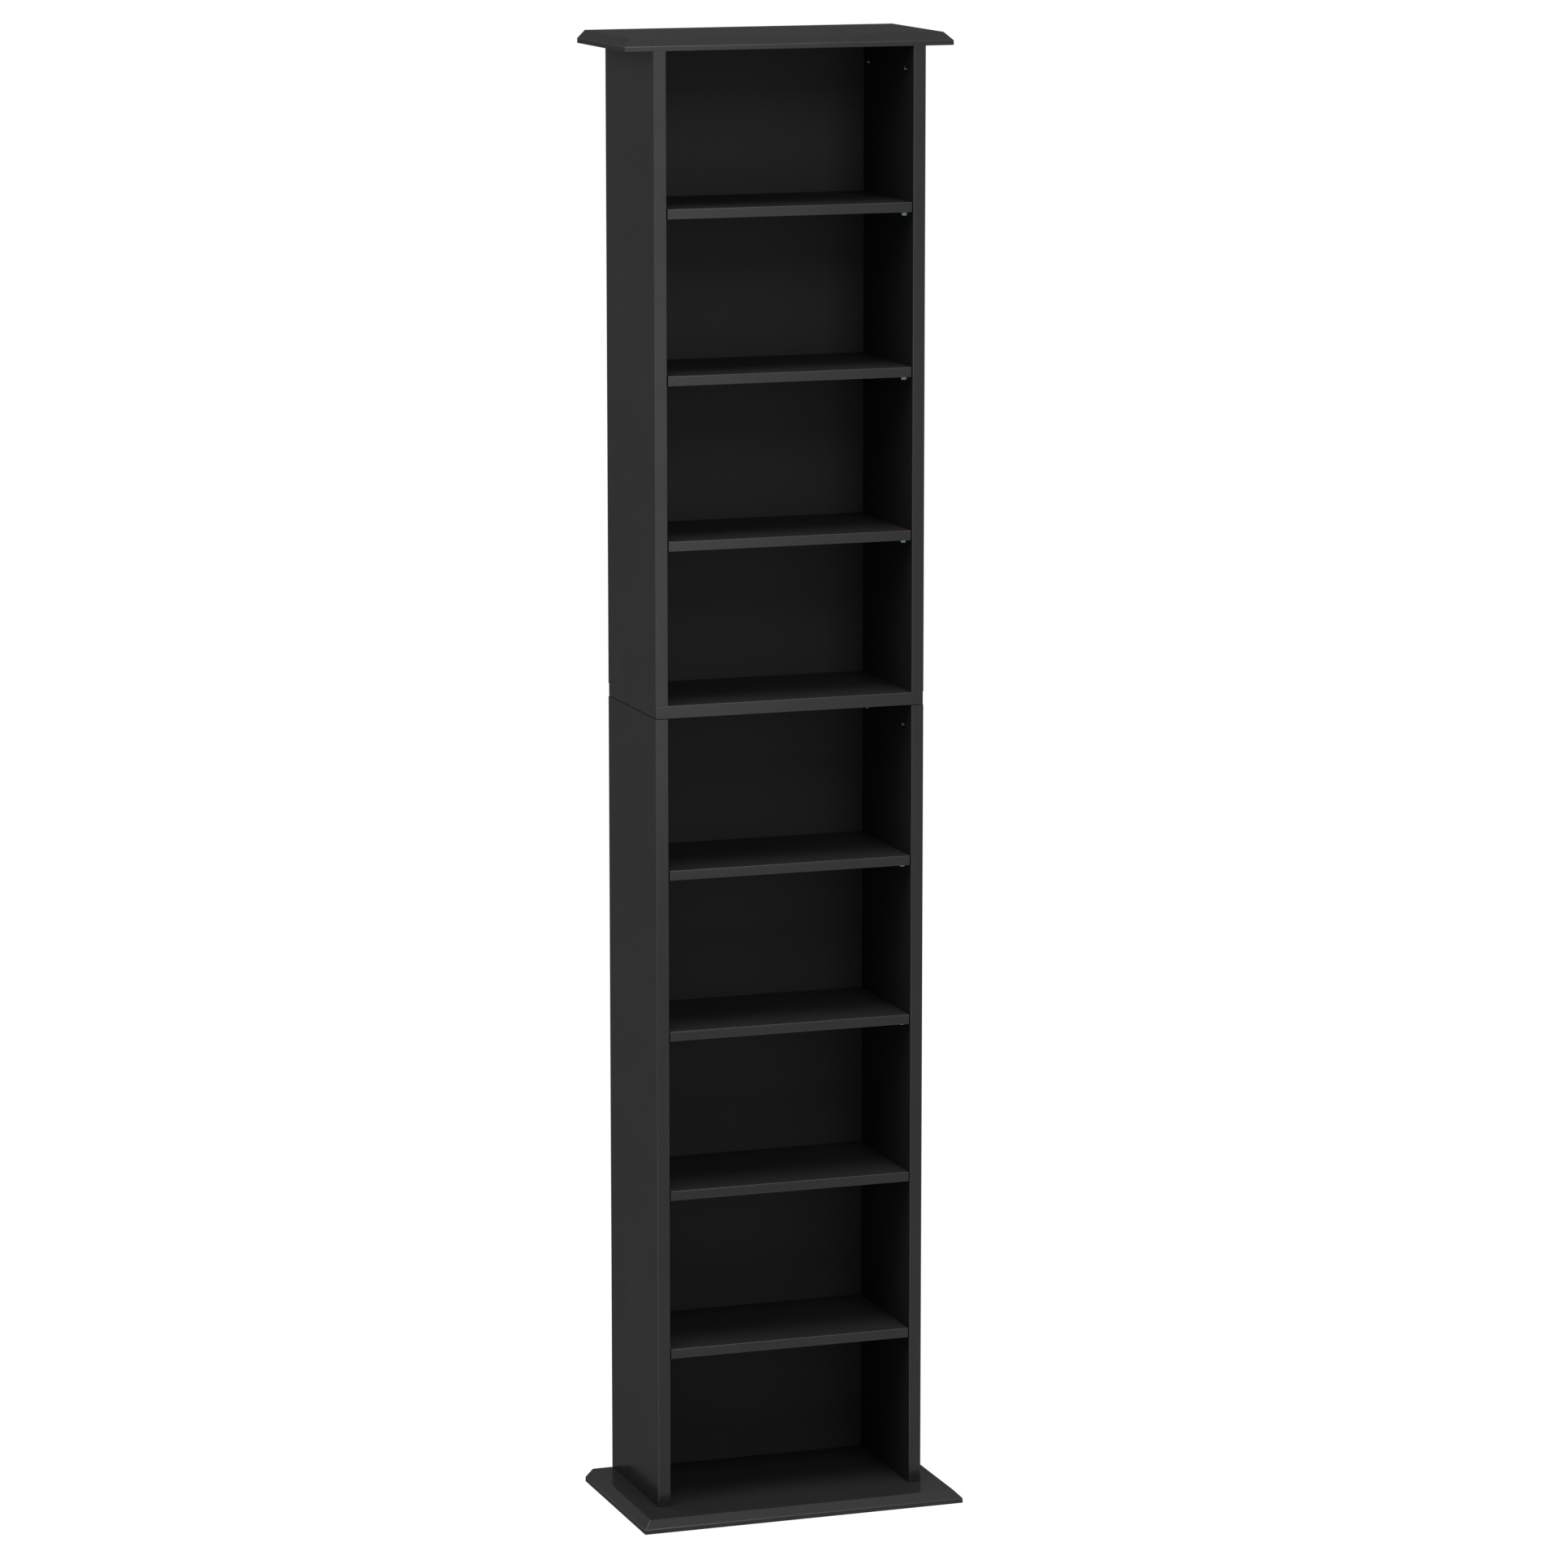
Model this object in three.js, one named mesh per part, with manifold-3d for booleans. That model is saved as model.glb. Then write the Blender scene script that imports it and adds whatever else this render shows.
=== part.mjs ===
// A free-standing storage tower: two open cases of laminated board, one on the other, with
// a middle board between them, slant-edged plates above and below, and loose shelves on pins.
// Millimetres, +X to the right, +Y to the back, +Z up.
// The origin is the centre of the base plate's underside.

import * as THREE from "three";
import { mergeVertices } from "three/addons/utils/BufferGeometryUtils.js";
import Module from "manifold-3d";

const wasm = await Module();
wasm.setup();

// The case
const caseWidth = 352;
const caseDepth = 193;
const boardThick = 16;
const rowClear = 191.5;        // free height of a row
const upperRows = 4;
const lowerRows = 5;
const middleInset = 0.7;       // how far each end of the middle board lies inside the sides

// The two plates
const plateOverhang = 36.5;    // past the sides, left and right
const baseNose = 57;           // past the case, in front
const slantWidth = 10;         // of the cut along the upper edges
const plateLip = 6;            // height of the square edge below the cut

// Loose shelves
const shelfThick = 12.5;
const shelfEndGap = 1.5;       // to each side
const shelfFrontInset = 0.5;
const shelfBackGap = 1.5;

// Back panels, held in grooves
const backThick = 3;
const grooveDepth = 6;
const grooveInset = 10;        // board left behind the groove

// Shelf pins
const pinStem = 5;             // diameter in the bore
const pinStemLength = 9;
const pinHead = 6;             // diameter of the part that carries the shelf
const pinHeadLength = 5;
const pinRound = 0.8;          // cut around the tip
const pinInset = 26;           // from the front and back edge of the shelf

// Cam fittings: a round cam in the side, holding the head of a bolt in the board above it
const camSize = 10;            // diameter
const camLength = 12;
const camSink = 0.4;           // below the panel's face
const camDrop = 30;            // below the board above
const camInset = 30;           // from the front and back edge of the side
const camSlotWidth = 1.4;      // of the cross in its face
const camSlotLength = 7;
const camSlotDepth = 2.5;
const camMouth = 7;            // width of the pocket that takes the bolt's head
const boltHead = 6;            // diameters along the bolt
const boltHeadLength = 2.4;
const boltNeck = 3.5;
const boltNeckLength = 4;
const boltShank = 5;
const boltCollar = 7;
const boltCollarLength = 1.2;
const boltThread = 5.6;
const boltThreadLength = 10;

// Screws up through the base plate and the middle board
const screwHead = 9;           // diameter
const screwHeadRise = 3.6;     // height of the cone
const screwSink = 0.6;         // head below the board's face
const screwShank = 5;
const screwLength = 50;
const screwPoint = 4;          // length of the tapered end
const screwInset = 62;         // from the front and back edge of the side
const driveSize = 4.4;         // cross in the head
const driveWidth = 1.1;
const driveDepth = 2;

// Dowels glued into the upper ends of the sides
const dowelSize = 8;
const dowelRise = 10;
const dowelRound = 1;

// Play
const fitGap = 0.3;            // around and under what is fitted loosely
const blindGap = 1;            // at the end of a blind bore
const overrun = 1;             // of a cut past the face it opens
const roundSides = 12;

// Places worked out from the sizes
const rowPitch = rowClear + shelfThick;
const upperHeight = upperRows * rowClear + (upperRows - 1) * shelfThick;
const lowerHeight = lowerRows * rowClear + (lowerRows - 1) * shelfThick;
const plateWidth = caseWidth + 2 * plateOverhang;
const baseDepth = caseDepth + baseNose;
const backY = baseDepth / 2;
const frontY = backY - caseDepth;
const middleY = (frontY + backY) / 2;
const baseTop = boardThick;
const middleUnder = baseTop + lowerHeight;
const middleTop = middleUnder + boardThick;
const topUnder = middleTop + upperHeight;
const innerHalf = caseWidth / 2 - boardThick;
const grooveBack = backY - grooveInset;
const grooveFront = grooveBack - backThick - 2 * fitGap;
const shelfFront = frontY + shelfFrontInset;
const shelfBack = grooveFront + fitGap - shelfBackGap;
const sideCentre = caseWidth / 2 - boardThick / 2;

const finishes = {
  board: new THREE.MeshStandardMaterial({ color: 0x2b2b2a, roughness: 0.42, metalness: 0 }),
  hardboard: new THREE.MeshStandardMaterial({ color: 0x232322, roughness: 0.6, metalness: 0 }),
  pin: new THREE.MeshStandardMaterial({ color: 0xa9d8c8, roughness: 0.25, metalness: 0 }),
  cam: new THREE.MeshStandardMaterial({ color: 0x9a9b9c, roughness: 0.4, metalness: 0.9 }),
  screw: new THREE.MeshStandardMaterial({ color: 0xb4b3ad, roughness: 0.35, metalness: 0.9 }),
};

const tower = new THREE.Group();

// A closed geometry as a solid that can be cut and joined.
function solidOf(geometry) {
  const bare = geometry.clone();
  bare.deleteAttribute("normal");
  bare.deleteAttribute("uv");
  const merged = mergeVertices(bare);
  const index = merged.index.array;
  const triangles = [];
  for (let i = 0; i < index.length; i += 3) {
    const [a, b, c] = [index[i], index[i + 1], index[i + 2]];
    if (a !== b && b !== c && c !== a) {
      triangles.push(a, b, c);
    }
  }
  return new wasm.Manifold(new wasm.Mesh({
    numProp: 3,
    vertProperties: new Float32Array(merged.attributes.position.array),
    triVerts: new Uint32Array(triangles),
  }));
}

function geometryOf(solid) {
  const mesh = solid.getMesh();
  const geometry = new THREE.BufferGeometry();
  geometry.setAttribute("position", new THREE.BufferAttribute(new Float32Array(mesh.vertProperties), 3));
  geometry.setIndex(new THREE.BufferAttribute(new Uint32Array(mesh.triVerts), 1));
  const flat = geometry.toNonIndexed();
  flat.computeVertexNormals();
  return flat;
}

function add(name, solid, finish) {
  const mesh = new THREE.Mesh(geometryOf(solid), finishes[finish]);
  mesh.name = name;
  tower.add(mesh);
}

// A board between two opposite corners.
function board(corner, opposite) {
  const size = opposite.map((value, axis) => Math.abs(value - corner[axis]));
  const centre = opposite.map((value, axis) => (value + corner[axis]) / 2);
  const geometry = new THREE.BoxGeometry(...size);
  geometry.translate(...centre);
  return solidOf(geometry);
}

// An outline of [across, up] points drawn out by a length along +Z of its own plane.
function extruded(points, length) {
  const shape = new THREE.Shape(points.map(([across, up]) => new THREE.Vector2(across, up)));
  return new THREE.ExtrudeGeometry(shape, { depth: length, bevelEnabled: false });
}

// A turned piece: [radius, along] points from one end of the axis to the other,
// then stood at a point and aimed along a direction.
function turned(points, at, direction) {
  const profile = points.map(([radius, along]) => new THREE.Vector2(radius, along));
  const geometry = new THREE.LatheGeometry(profile, roundSides);
  const aim = new THREE.Quaternion();
  aim.setFromUnitVectors(new THREE.Vector3(0, 1, 0), new THREE.Vector3(...direction));
  geometry.applyQuaternion(aim);
  geometry.translate(...at);
  return solidOf(geometry);
}

// A plain round bar or bore.
function round(diameter, length, at, direction) {
  const radius = diameter / 2;
  return turned([[0, 0], [radius, 0], [radius, length], [0, length]], at, direction);
}

// A plate whose upper edges are cut off at a slant in front and at both ends.
// The front outline and the side outline are drawn out across each other and only what both share is kept.
function slantedPlate(front, back, under) {
  const half = plateWidth / 2;
  const top = under + boardThick;
  const lip = under + plateLip;
  const across = extruded([
    [-half, under],
    [half, under],
    [half, lip],
    [half - slantWidth, top],
    [slantWidth - half, top],
    [-half, lip],
  ], back - front);
  across.rotateX(Math.PI / 2);
  across.translate(0, back, 0);
  const along = extruded([
    [front, under],
    [back, under],
    [back, top],
    [front + slantWidth, top],
    [front, lip],
  ], plateWidth);
  along.rotateX(Math.PI / 2);
  along.rotateZ(Math.PI / 2);
  along.translate(-half, 0, 0);
  return solidOf(across).intersect(solidOf(along));
}

// The two places along the depth where a fitting sits, by its inset from the edges of the sides.
function depthPlaces(inset) {
  return [["front", frontY + inset], ["back", backY - inset]];
}

const hands = [["left", -1], ["right", 1]];
const upwards = [0, 0, 1];
const pinPlaces = [["front", shelfFront + pinInset], ["back", shelfBack - pinInset]];

// Bolt of a cam fitting: its head lies in the cam, its thread in the board above.
// The profile runs upwards from the head's underside.
function boltProfile(widen) {
  const headTop = boltHeadLength;
  const neckTop = headTop + boltNeckLength;
  const shankTop = camDrop + boltHeadLength / 2 - boltCollarLength;
  const collarTop = shankTop + boltCollarLength;
  const threadTop = collarTop + boltThreadLength;
  return [
    [0, 0],
    [boltHead / 2, 0],
    [boltHead / 2, headTop],
    [boltNeck / 2, headTop],
    [boltNeck / 2, neckTop],
    [boltShank / 2, neckTop],
    [boltShank / 2, shankTop],
    [boltCollar / 2, shankTop],
    [boltCollar / 2, collarTop],
    [boltThread / 2, collarTop],
    [boltThread / 2, threadTop],
    [0, threadTop],
  ].map(([radius, along]) => [radius ? radius + widen : 0, along]);
}

// Screw with a countersunk head; the profile runs from the head's face to the point.
function screwProfile(widen) {
  return [
    [0, 0],
    [screwHead / 2 + widen, 0],
    [screwShank / 2 + widen, screwHeadRise],
    [screwShank / 2 + widen, screwLength - screwPoint],
    [0, screwLength],
  ];
}

// A row's cam fitting: the cam lies in the side, open towards the inside of the case.
function camFitting(hand, y, ceiling) {
  const face = hand * (innerHalf + camSink);
  const z = ceiling - camDrop;
  const cam = round(camSize, camLength, [face, y, z], [hand, 0, 0]);
  const mouth = face - hand * overrun;
  const floor = face + hand * camSlotDepth;
  const upright = board(
    [mouth, y - camSlotWidth / 2, z - camSlotLength / 2],
    [floor, y + camSlotWidth / 2, z + camSlotLength / 2],
  );
  const level = board(
    [mouth, y - camSlotLength / 2, z - camSlotWidth / 2],
    [floor, y + camSlotLength / 2, z + camSlotWidth / 2],
  );
  const pocketX = hand * sideCentre;
  const pocket = board(
    [pocketX - camMouth / 2, y - camMouth / 2, z + boltHeadLength / 2],
    [pocketX + camMouth / 2, y + camMouth / 2, z + camSize / 2 + overrun],
  );
  const bolt = turned(boltProfile(0), [pocketX, y, z - boltHeadLength / 2], upwards);
  return cam.subtract(upright).subtract(level).subtract(pocket).add(bolt);
}

// The bores that a side needs for one cam fitting.
function camBores(hand, y, ceiling) {
  const z = ceiling - camDrop;
  const cam = round(camSize + 2 * fitGap, camLength + camSink + blindGap + overrun,
    [hand * (innerHalf - overrun), y, z], [hand, 0, 0]);
  const bolt = round(boltCollar + 2 * fitGap, camDrop + overrun, [hand * sideCentre, y, z], upwards);
  return cam.add(bolt);
}

// One screw, driven upwards, with its head sunk in the underside of a board.
function screw(x, y, under) {
  const face = under + screwSink;
  const cross = driveSize / 2;
  const body = turned(screwProfile(0), [x, y, face], upwards);
  const low = face - overrun;
  const high = face + driveDepth;
  const wide = board([x - cross, y - driveWidth / 2, low], [x + cross, y + driveWidth / 2, high]);
  const deep = board([x - driveWidth / 2, y - cross, low], [x + driveWidth / 2, y + cross, high]);
  return body.subtract(wide).subtract(deep);
}

// What the screw needs cut from the board it passes and the side it bites in.
function screwBore(x, y, under) {
  const face = under + screwSink;
  const mouth = round(screwHead + 2 * fitGap, screwSink + overrun, [x, y, under - overrun], upwards);
  const bore = turned(screwProfile(fitGap), [x, y, face], upwards);
  const end = face + screwLength - screwPoint;
  const tip = round(screwShank + 2 * fitGap, screwPoint + blindGap, [x, y, end], upwards);
  return mouth.add(bore).add(tip);
}

// A side: a board bored for pins, cams, bolts and screws and grooved for the back panel,
// with a dowel glued into its upper end.
function side(hand, bottom, height, shelfUnders) {
  const top = bottom + height;
  const inner = hand * innerHalf;
  const groove = board(
    [inner - hand * overrun, grooveFront, bottom - overrun],
    [inner + hand * grooveDepth, grooveBack, top + overrun],
  );
  let panel = board([inner, frontY, bottom], [hand * caseWidth / 2, backY, top]).subtract(groove);
  for (const under of shelfUnders) {
    for (const [, y] of pinPlaces) {
      const z = under - fitGap - pinHead / 2;
      panel = panel.subtract(round(pinStem + 2 * fitGap, pinStemLength + blindGap + overrun,
        [inner - hand * overrun, y, z], [hand, 0, 0]));
    }
  }
  for (const [, y] of depthPlaces(camInset)) {
    panel = panel.subtract(camBores(hand, y, top));
  }
  for (const [, y] of depthPlaces(screwInset)) {
    panel = panel.subtract(screwBore(hand * sideCentre, y, bottom - boardThick));
  }
  const dowel = turned([
    [0, -dowelRise],
    [dowelSize / 2, -dowelRise],
    [dowelSize / 2, dowelRise - dowelRound],
    [dowelSize / 2 - dowelRound, dowelRise],
    [0, dowelRise],
  ], [hand * sideCentre, middleY, top], upwards);
  return panel.add(dowel);
}

// The bores in the underside of the board that lies on two sides: four bolts and two dowels.
function jointBores(under) {
  const bores = [];
  for (const [, hand] of hands) {
    const x = hand * sideCentre;
    for (const [, y] of depthPlaces(camInset)) {
      bores.push(round(boltThread + 2 * fitGap, boltThreadLength + blindGap + overrun,
        [x, y, under - overrun], upwards));
    }
    bores.push(round(dowelSize + 2 * fitGap, dowelRise + blindGap + overrun,
      [x, middleY, under - overrun], upwards));
  }
  return bores;
}

// The four screw bores through a board whose underside is at the given height.
function screwBores(under) {
  const places = depthPlaces(screwInset);
  return hands.flatMap(([, hand]) => places.map(([, y]) => screwBore(hand * sideCentre, y, under)));
}

function cutAll(solid, cuts) {
  return cuts.reduce((left, cut) => left.subtract(cut), solid);
}

// The undersides of the shelves in a case, from its top row down.
function shelfUndersOf(ceiling, rows) {
  const unders = [];
  for (let row = 1; row < rows; row += 1) {
    unders.push(ceiling - row * rowPitch);
  }
  return unders;
}

const upperShelves = shelfUndersOf(topUnder, upperRows);
const lowerShelves = shelfUndersOf(middleUnder, lowerRows);

// Plates and middle board
add("base_plate", cutAll(slantedPlate(-backY, backY, 0), screwBores(0)), "board");
add("middle_board", cutAll(
  board(
    [middleInset - caseWidth / 2, frontY, middleUnder],
    [caseWidth / 2 - middleInset, backY, middleTop],
  ),
  [...jointBores(middleUnder), ...screwBores(middleUnder)],
), "board");
add("top_plate", cutAll(slantedPlate(frontY, backY, topUnder), jointBores(topUnder)), "board");

// Sides and back panels of both cases
const cases = [
  ["lower", baseTop, lowerHeight, lowerShelves],
  ["upper", middleTop, upperHeight, upperShelves],
];
for (const [name, bottom, height, unders] of cases) {
  for (const [handName, hand] of hands) {
    add(`${name}_side_${handName}`, side(hand, bottom, height, unders), "board");
    for (const [place, y] of depthPlaces(camInset)) {
      add(`${name}_cam_${handName}_${place}`, camFitting(hand, y, bottom + height), "cam");
    }
    for (const [place, y] of depthPlaces(screwInset)) {
      add(`${name}_screw_${handName}_${place}`, screw(hand * sideCentre, y, bottom - boardThick), "screw");
    }
  }
  const backHalf = innerHalf + grooveDepth - fitGap;
  add(`${name}_back_panel`, board(
    [-backHalf, grooveFront + fitGap, bottom + fitGap],
    [backHalf, grooveBack - fitGap, bottom + height - fitGap],
  ), "hardboard");
}

// Loose shelves, numbered from the top, each on four pins
[...upperShelves, ...lowerShelves].forEach((under, order) => {
  const shelf = `shelf_${order + 1}`;
  const half = innerHalf - shelfEndGap;
  add(shelf, board([-half, shelfFront, under], [half, shelfBack, under + shelfThick]), "board");
  for (const [handName, hand] of hands) {
    for (const [place, y] of pinPlaces) {
      const tip = [hand * (innerHalf - pinHeadLength), y, under - fitGap - pinHead / 2];
      const pin = turned([
        [0, 0],
        [pinHead / 2 - pinRound, 0],
        [pinHead / 2, pinRound],
        [pinHead / 2, pinHeadLength],
        [pinStem / 2, pinHeadLength],
        [pinStem / 2, pinHeadLength + pinStemLength],
        [0, pinHeadLength + pinStemLength],
      ], tip, [hand, 0, 0]);
      add(`${shelf}_pin_${handName}_${place}`, pin, "pin");
    }
  }
});

export default tower;
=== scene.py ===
# Looks of a free-standing storage tower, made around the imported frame.
# Metres, +X to the right, +Y to the back, +Z up.

import math

import bmesh
import bpy
from mathutils import Matrix, Vector


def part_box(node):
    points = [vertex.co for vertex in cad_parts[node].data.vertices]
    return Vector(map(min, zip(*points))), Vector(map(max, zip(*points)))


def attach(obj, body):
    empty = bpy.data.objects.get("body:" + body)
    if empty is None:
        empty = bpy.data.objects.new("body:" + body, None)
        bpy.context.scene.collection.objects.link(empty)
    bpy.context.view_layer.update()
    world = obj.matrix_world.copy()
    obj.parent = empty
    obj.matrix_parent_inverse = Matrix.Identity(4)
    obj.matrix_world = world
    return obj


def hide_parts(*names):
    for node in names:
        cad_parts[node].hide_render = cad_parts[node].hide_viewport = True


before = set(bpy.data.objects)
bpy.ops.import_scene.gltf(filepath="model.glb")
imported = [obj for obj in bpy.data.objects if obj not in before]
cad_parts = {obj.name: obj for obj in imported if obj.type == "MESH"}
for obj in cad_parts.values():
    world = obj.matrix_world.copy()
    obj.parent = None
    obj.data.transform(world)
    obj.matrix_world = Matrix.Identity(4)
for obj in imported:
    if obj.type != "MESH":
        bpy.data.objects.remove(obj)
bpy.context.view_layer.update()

hands = {"left": -1, "right": 1}
places = ("front", "back")
mm = 0.001
tiny = 0.01 * mm         # closer than this counts as the same place
weldWithin = 0.001 * mm  # points closer than this become one
upwards = (0, 0, 1)


# Shader maths as plain expressions: a Signal is one output socket of a finish.
class Signal:
    def __init__(self, finish, socket):
        self.finish = finish
        self.socket = socket

    def maths(self, operation, *values):
        return self.finish.node("Math", {"operation": operation}, dict(enumerate(values)))

    def __add__(self, other):
        return self.maths("ADD", self, other)

    def __sub__(self, other):
        return self.maths("SUBTRACT", self, other)

    def __rsub__(self, other):
        return self.maths("SUBTRACT", other, self)

    def __mul__(self, other):
        return self.maths("MULTIPLY", self, other)

    __radd__ = __add__
    __rmul__ = __mul__

    def sine(self):
        return self.maths("SINE", self)

    def atLeast(self, other):
        return self.maths("MAXIMUM", self, other)

    # 0 below the start, 1 above the end, smooth between
    def rise(self, start, end):
        values = {"Value": self, "From Min": start, "From Max": end}
        return self.finish.node("MapRange", {"interpolation_type": "SMOOTHSTEP"}, values)


# The nodes of one material, or of the world; every kind of node comes from one method.
class Finish:
    def __init__(self, owner):
        owner.use_nodes = True
        self.owner = owner
        self.tree = owner.node_tree
        self.tree.nodes.clear()

    def node(self, kind, settings=None, values=None, output=0):
        node = self.tree.nodes.new("ShaderNode" + kind)
        for name, setting in (settings or {}).items():
            setattr(node, name, setting)
        for name, value in (values or {}).items():
            if isinstance(value, Signal):
                self.tree.links.new(value.socket, node.inputs[name])
            else:
                node.inputs[name].default_value = value
        return Signal(self, node.outputs[output]) if node.outputs else None

    # where a point lies on the tower
    def place(self):
        return self.node("TexCoord", output="Object")

    def along(self, axis):
        return self.node("SeparateXYZ", values={0: self.place()}, output=axis)

    def noise(self, perMetre, detail=2.0, stretch=(1, 1, 1)):
        where = self.node("Mapping", values={"Vector": self.place(), "Scale": stretch})
        return self.node("TexNoise", values={"Vector": where, "Scale": perMetre, "Detail": detail})

    def blend(self, amount, low, high):
        return self.node("Mix", {"data_type": "RGBA"}, {0: amount, 6: low, 7: high}, 2)

    def bump(self, height, depth):
        return self.node("Bump", values={"Height": height, "Distance": depth, "Strength": 1.0})

    def mark(self, name):
        return self.node("Attribute", {"attribute_name": name}, output="Fac")

    def surface(self, values):
        return self.close(self.node("BsdfPrincipled", values=values))

    def close(self, shader, kind="OutputMaterial"):
        self.node(kind, values={"Surface": shader})
        return self.owner


def newFinish(name):
    return Finish(bpy.data.materials.new(name))


def grey(level, warmth=1.0):
    return (level * warmth, level, level / warmth, 1)


noiseMiddle = 0.5


# Satin black foil: one even colour with faint clouds and a fine pearl embossing, rubbed smooth
# at the arrises, where a paler colour also paints a highlight line
laminate = {
    "colour": grey(0.0116, 1.01),
    "paleColour": grey(0.0176, 1.01),
    # paler than the face: rubbed wear, and a painted highlight line
    "arrisWearAndHighlight": grey(0.0165, 1.01),
    "roughness": 0.5,
    "roughnessSpread": 0.08,
    "arrisRoughness": -0.08,     # added where it is rubbed
    "specular": 0.0,             # all of its sheen is in the thin lacquer
    "coat": 0.05,
    "coatSpread": 0.014,         # where hands and dust cloths have been
    "arrisCoat": 0.09,
    "coatRoughness": 0.2,
    "coatRefraction": 4.0,       # keeps the sheen as even from the side as from the front
    "clouds": {"perMetre": 3.2, "detail": 3},
    "cloudShare": 0.4,           # of the change in tone; the rest follows the pearl
    "smudges": {"perMetre": 17, "detail": 4},
    "pearl": {"perMetre": 1150, "detail": 1},
    "pearlDepth": 0.06 * mm,
    "contrast": (0.3, 0.7),      # where the tone starts and stops to change
}


def makeLaminate():
    sizes = laminate
    finish = newFinish("black_laminate")
    clouds = finish.noise(**sizes["clouds"]).rise(*sizes["contrast"])
    smudges = finish.noise(**sizes["smudges"]) - noiseMiddle
    pearl = finish.noise(**sizes["pearl"])
    grains = pearl.rise(*sizes["contrast"])
    arris = finish.mark("arris")
    share = sizes["cloudShare"]
    tone = share * clouds + (1 - share) * grains
    rough = sizes["roughness"] + sizes["roughnessSpread"] * smudges
    coat = sizes["coat"] + sizes["coatSpread"] * smudges
    return finish.surface({
        # marked arrises get the paler colour: rubbed wear, and a painted highlight line
        "Base Color": finish.blend(
            arris, finish.blend(tone, sizes["colour"], sizes["paleColour"]), sizes["arrisWearAndHighlight"]),
        "Roughness": rough + sizes["arrisRoughness"] * arris,
        "Specular IOR Level": sizes["specular"],
        "Coat Weight": coat + (sizes["arrisCoat"] - sizes["coat"]) * arris,
        "Coat Roughness": sizes["coatRoughness"],
        "Coat IOR": sizes["coatRefraction"],
        "Normal": finish.bump(pearl * (1 - arris), sizes["pearlDepth"]),
    })


# Thin hardboard: a black lacquered face towards the rows, and a raw brown back
# that carries the print of the screen it was pressed on.
hardboard = {
    "faceColour": grey(0.0125, 1.01),
    "facePale": grey(0.0165, 1.01),
    "fibreColour": (0.19, 0.105, 0.052, 1),
    "paleFibreColour": (0.30, 0.18, 0.095, 1),
    "faceRoughness": 0.55,
    "backRoughness": 0.85,
    "fibres": {"perMetre": 260, "detail": 5, "stretch": (1, 1, 0.35)},
    "fibreContrast": (0.3, 0.75),
    "fibreShare": 0.7,           # of the change in tone; the rest follows the stains
    "stains": {"perMetre": 9, "detail": 3},
    "stainContrast": (0.35, 0.7),
    "grain": {"perMetre": 900, "detail": 2},
    "screenPitch": 1.7 * mm,
    "screenDepth": 0.12 * mm,
    "screenShare": 0.5,          # of the depth, beside the fibres
    "grainShare": 0.1,
    "specular": 0.1,
    "edgeRound": 0.2 * mm,
    "edgeSteps": 2,
}


def makeHardboard():
    sizes = hardboard
    low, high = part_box("upper_back_panel")
    finish = newFinish("black_hardboard")
    back = finish.along("Y").rise((low.y + high.y) / 2, high.y - tiny)
    turns = 2 * math.pi / sizes["screenPitch"]
    weave = (finish.along("X") * turns).sine() * (finish.along("Z") * turns).sine()
    fibres = finish.noise(**sizes["fibres"]).rise(*sizes["fibreContrast"])
    stains = finish.noise(**sizes["stains"]).rise(*sizes["stainContrast"])
    grain = finish.noise(**sizes["grain"])
    share = sizes["fibreShare"]
    tone = share * fibres + (1 - share) * stains
    raw = finish.blend(tone, sizes["fibreColour"], sizes["paleFibreColour"])
    face = finish.blend(grain, sizes["faceColour"], sizes["facePale"])
    spread = sizes["backRoughness"] - sizes["faceRoughness"]
    relief = back * (sizes["screenShare"] * weave + fibres) + sizes["grainShare"] * grain
    return finish.surface({
        "Base Color": finish.blend(back, face, raw),
        "Roughness": sizes["faceRoughness"] + spread * back,
        "Specular IOR Level": sizes["specular"],
        "Normal": finish.bump(relief, sizes["screenDepth"]),
    })


# Glossy green moulded plastic that lets light through
pinPlastic = {
    "colour": (0.44, 0.88, 0.75, 1),
    "cloudColour": (0.62, 0.95, 0.85, 1),
    "roughness": 0.07,
    "roughnessSpread": 0.05,
    "clear": 0.35,
    "refraction": 1.52,
    "clouds": {"perMetre": 240, "detail": 2},
    "skin": {"perMetre": 1600, "detail": 1},
    "skinDepth": 0.01 * mm,
}


def makePinPlastic():
    sizes = pinPlastic
    finish = newFinish("pin_plastic")
    clouds = finish.noise(**sizes["clouds"])
    skin = finish.noise(**sizes["skin"])
    return finish.surface({
        "Base Color": finish.blend(clouds, sizes["colour"], sizes["cloudColour"]),
        "Roughness": sizes["roughness"] + sizes["roughnessSpread"] * clouds,
        "IOR": sizes["refraction"],
        "Transmission Weight": sizes["clear"],
        "Normal": finish.bump(skin, sizes["skinDepth"]),
    })


# Bare metals: die-cast zinc for the cams, with its colour darkened to near black as painted
# shade of the dim rows they sit in, and plated steel for bolts and screws
metals = {
    "cam_zinc": {
        # near black: painted shade of the rows the cams sit in
        "colour": grey(0.15, 0.99), "dull": grey(0.10, 0.99),
        "roughness": 0.10, "roughnessSpread": 0.10,
        "grain": {"perMetre": 1900, "detail": 2}, "grainDepth": 0.008 * mm,
    },
    "screw_steel": {
        "colour": grey(0.62, 1.02), "dull": grey(0.47, 1.03),
        "roughness": 0.24, "roughnessSpread": 0.16,
        "grain": {"perMetre": 700, "detail": 2}, "grainDepth": 0.006 * mm,
    },
}
tarnish = {"spots": {"perMetre": 160, "detail": 4}, "contrast": (0.35, 0.7)}


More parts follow.
